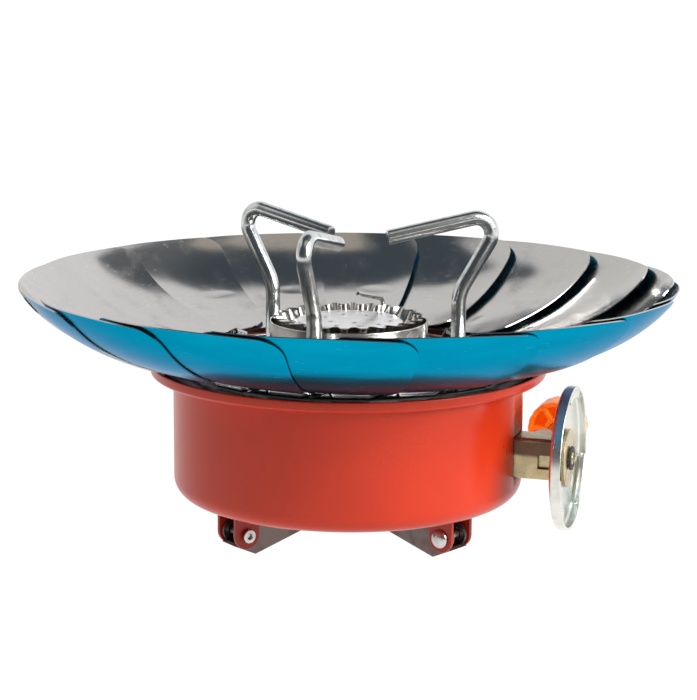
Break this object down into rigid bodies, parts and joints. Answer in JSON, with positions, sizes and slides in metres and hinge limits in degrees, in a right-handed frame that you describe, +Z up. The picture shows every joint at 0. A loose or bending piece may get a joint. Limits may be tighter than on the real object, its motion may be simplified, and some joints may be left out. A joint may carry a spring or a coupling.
{
  "type": "folding camping gas stove",
  "caption": "Camping gas burner in a round cup with fold-up windscreen petals, swivelling pot supports, folding feet, side cartridge connector, valve knob and spark igniter.",
  "frame": {"origin": "on the ground under the burner's axis", "axes": "+Z up along the burner's axis, +X along the cartridge connector, away from the cup"},
  "size_m": [0.2033, 0.2031, 0.1012],
  "materials": {
    "red_paint": "gloss enamel",
    "blue_steel": "stainless sheet, bright inside, blue film outside",
    "stainless": "satin",
    "zinc_wire": "bright zinc plate",
    "yellow_zinc": "yellow passivated zinc plate",
    "grey_zinc": "grey zinc plate",
    "dark_steel": "dark plated steel",
    "brass": "turned brass",
    "copper": "bare copper tube",
    "orange_plastic": "moulded, satin",
    "black_rubber": "matt",
    "black_plastic": "satin",
    "ceramic": "glazed"
  },
  "bodies": {
    "stove_body": {"burner_cap": "stainless", "burner_cup": "stainless", "burner_pleats": "stainless", "cartridge_probe": "yellow_zinc", "cartridge_seal": "black_rubber", "collar_cup": "grey_zinc", "connector_sleeve": "yellow_zinc", "electrode": "stainless", "electrode_insulator": "ceramic", "foot_bracket_1": "red_paint", "foot_bracket_2": "red_paint", "foot_bracket_3": "red_paint", "foot_pin_1": "dark_steel", "foot_pin_2": "dark_steel", "foot_pin_3": "dark_steel", "gas_tube": "copper", "heat_shield": "stainless", "hinge_ring": "dark_steel", "hinge_wire": "stainless", "housing": "red_paint", "ignition_lead": "black_rubber", "injector": "brass", "mixing_tube": "brass", "piezo_body": "black_plastic", "shield_post_1": "grey_zinc", "shield_post_2": "grey_zinc", "shield_post_3": "grey_zinc", "shield_screw_1": "stainless", "shield_screw_2": "stainless", "shield_screw_3": "stainless", "support_bush_1": "grey_zinc", "support_bush_2": "grey_zinc", "support_bush_3": "grey_zinc", "valve_body": "brass"},
    "foot_1": {"foot_1": "dark_steel"},
    "foot_2": {"foot_2": "dark_steel"},
    "foot_3": {"foot_3": "dark_steel"},
    "petal_01": {"petal_01": "blue_steel"},
    "petal_02": {"petal_02": "blue_steel"},
    "petal_03": {"petal_03": "blue_steel"},
    "petal_04": {"petal_04": "blue_steel"},
    "petal_05": {"petal_05": "blue_steel"},
    "petal_06": {"petal_06": "blue_steel"},
    "petal_07": {"petal_07": "blue_steel"},
    "petal_08": {"petal_08": "blue_steel"},
    "petal_09": {"petal_09": "blue_steel"},
    "petal_10": {"petal_10": "blue_steel"},
    "petal_11": {"petal_11": "blue_steel"},
    "petal_12": {"petal_12": "blue_steel"},
    "petal_13": {"petal_13": "blue_steel"},
    "petal_14": {"petal_14": "blue_steel"},
    "petal_15": {"petal_15": "blue_steel"},
    "petal_16": {"petal_16": "blue_steel"},
    "petal_17": {"petal_17": "blue_steel"},
    "pot_support_1": {"pot_support_1": "zinc_wire"},
    "pot_support_2": {"pot_support_2": "zinc_wire"},
    "pot_support_3": {"pot_support_3": "zinc_wire"},
    "valve_knob": {"knob": "orange_plastic", "valve_spindle": "brass"},
    "igniter_button": {"piezo_button": "black_plastic"}
  },
  "joints": [
    {"name": "foot_1_fold", "type": "hinge", "parent": "stove_body", "child": "foot_1", "pos_m": [-0.02524, -0.03231, 0.0068], "axis": [-0.788, 0.6157, 0], "range_deg": [0, 150]},
    {"name": "foot_2_fold", "type": "hinge", "parent": "stove_body", "child": "foot_2", "pos_m": [0.03763, -0.01628, 0.0068], "axis": [-0.3971, -0.9178, 0], "range_deg": [0, 150]},
    {"name": "foot_3_fold", "type": "hinge", "parent": "stove_body", "child": "foot_3", "pos_m": [-0.00992, 0.03978, 0.0068], "axis": [0.9703, 0.2419, 0], "range_deg": [0, 150]},
    {"name": "petal_01_fold", "type": "hinge", "parent": "stove_body", "child": "petal_01", "pos_m": [0.05273, 0.00125, 0.0569], "axis": [0.1129, -0.9329, -0.342], "range_deg": [0, 68]},
    {"name": "petal_02_fold", "type": "hinge", "parent": "stove_body", "child": "petal_02", "pos_m": [0.04872, 0.02021, 0.0569], "axis": [0.4423, -0.8291, -0.342], "range_deg": [0, 68]},
    {"name": "petal_03_fold", "type": "hinge", "parent": "stove_body", "child": "petal_03", "pos_m": [0.03813, 0.03645, 0.0569], "axis": [0.7119, -0.6134, -0.342], "range_deg": [0, 68]},
    {"name": "petal_04_fold", "type": "hinge", "parent": "stove_body", "child": "petal_04", "pos_m": [0.02239, 0.04776, 0.0569], "axis": [0.8854, -0.3148, -0.342], "range_deg": [0, 68]},
    {"name": "petal_05_fold", "type": "hinge", "parent": "stove_body", "child": "petal_05", "pos_m": [0.00362, 0.05262, 0.0569], "axis": [0.9393, 0.0263, -0.342], "range_deg": [0, 68]},
    {"name": "petal_06_fold", "type": "hinge", "parent": "stove_body", "child": "petal_06", "pos_m": [-0.01563, 0.05038, 0.0569], "axis": [0.8664, 0.3639, -0.342], "range_deg": [0, 68]},
    {"name": "petal_07_fold", "type": "hinge", "parent": "stove_body", "child": "petal_07", "pos_m": [-0.03277, 0.04133, 0.0569], "axis": [0.6764, 0.6523, -0.342], "range_deg": [0, 68]},
    {"name": "petal_08_fold", "type": "hinge", "parent": "stove_body", "child": "petal_08", "pos_m": [-0.04549, 0.0267, 0.0569], "axis": [0.3951, 0.8526, -0.342], "range_deg": [0, 68]},
    {"name": "petal_09_fold", "type": "hinge", "parent": "stove_body", "child": "petal_09", "pos_m": [-0.05206, 0.00846, 0.0569], "axis": [0.0604, 0.9377, -0.342], "range_deg": [0, 68]},
    {"name": "petal_10_fold", "type": "hinge", "parent": "stove_body", "child": "petal_10", "pos_m": [-0.0516, -0.01091, 0.0569], "axis": [-0.2824, 0.8963, -0.342], "range_deg": [0, 68]},
    {"name": "petal_11_fold", "type": "hinge", "parent": "stove_body", "child": "petal_11", "pos_m": [-0.04418, -0.02882, 0.0569], "axis": [-0.5871, 0.7337, -0.342], "range_deg": [0, 68]},
    {"name": "petal_12_fold", "type": "hinge", "parent": "stove_body", "child": "petal_12", "pos_m": [-0.03078, -0.04283, 0.0569], "axis": [-0.8125, 0.4721, -0.342], "range_deg": [0, 68]},
    {"name": "petal_13_fold", "type": "hinge", "parent": "stove_body", "child": "petal_13", "pos_m": [-0.01323, -0.05106, 0.0569], "axis": [-0.9282, 0.1467, -0.342], "range_deg": [0, 68]},
    {"name": "petal_14_fold", "type": "hinge", "parent": "stove_body", "child": "petal_14", "pos_m": [0.00611, -0.05239, 0.0569], "axis": [-0.9185, -0.1985, -0.342], "range_deg": [0, 68]},
    {"name": "petal_15_fold", "type": "hinge", "parent": "stove_body", "child": "petal_15", "pos_m": [0.02462, -0.04665, 0.0569], "axis": [-0.7848, -0.5169, -0.342], "range_deg": [0, 68]},
    {"name": "petal_16_fold", "type": "hinge", "parent": "stove_body", "child": "petal_16", "pos_m": [0.03981, -0.0346, 0.0569], "axis": [-0.5451, -0.7655, -0.342], "range_deg": [0, 68]},
    {"name": "petal_17_fold", "type": "hinge", "parent": "stove_body", "child": "petal_17", "pos_m": [0.04962, -0.01789, 0.0569], "axis": [-0.2317, -0.9107, -0.342], "range_deg": [0, 68]},
    {"name": "pot_support_1_swivel", "type": "hinge", "parent": "stove_body", "child": "pot_support_1", "pos_m": [0.03083, 0.0178, 0.05527], "axis": [0, 0, 1], "range_deg": [0, 90]},
    {"name": "pot_support_2_swivel", "type": "hinge", "parent": "stove_body", "child": "pot_support_2", "pos_m": [-0.03083, 0.0178, 0.05527], "axis": [0, 0, 1], "range_deg": [-10, 80]},
    {"name": "pot_support_3_swivel", "type": "hinge", "parent": "stove_body", "child": "pot_support_3", "pos_m": [0, -0.0356, 0.05527], "axis": [0, 0, 1], "range_deg": [0, 90]},
    {"name": "valve_knob_turn", "type": "hinge", "parent": "stove_body", "child": "valve_knob", "pos_m": [0.0592, 0.036, 0.0298], "axis": [0, 1, 0], "range_deg": [0, 360]},
    {"name": "igniter_button_press", "type": "slide", "parent": "stove_body", "child": "igniter_button", "axis": [-0.4695, -0.8829, 0], "range_m": [0, 0.003], "stiffness_N_per_m": 600}
  ],
  "couplings": [
    {"joint": "petal_02_fold", "follows": "petal_01_fold", "ratio": 1},
    {"joint": "petal_03_fold", "follows": "petal_01_fold", "ratio": 1},
    {"joint": "petal_04_fold", "follows": "petal_01_fold", "ratio": 1},
    {"joint": "petal_05_fold", "follows": "petal_01_fold", "ratio": 1},
    {"joint": "petal_06_fold", "follows": "petal_01_fold", "ratio": 1},
    {"joint": "petal_07_fold", "follows": "petal_01_fold", "ratio": 1},
    {"joint": "petal_08_fold", "follows": "petal_01_fold", "ratio": 1},
    {"joint": "petal_09_fold", "follows": "petal_01_fold", "ratio": 1},
    {"joint": "petal_10_fold", "follows": "petal_01_fold", "ratio": 1},
    {"joint": "petal_11_fold", "follows": "petal_01_fold", "ratio": 1},
    {"joint": "petal_12_fold", "follows": "petal_01_fold", "ratio": 1},
    {"joint": "petal_13_fold", "follows": "petal_01_fold", "ratio": 1},
    {"joint": "petal_14_fold", "follows": "petal_01_fold", "ratio": 1},
    {"joint": "petal_15_fold", "follows": "petal_01_fold", "ratio": 1},
    {"joint": "petal_16_fold", "follows": "petal_01_fold", "ratio": 1},
    {"joint": "petal_17_fold", "follows": "petal_01_fold", "ratio": 1}
  ]
}
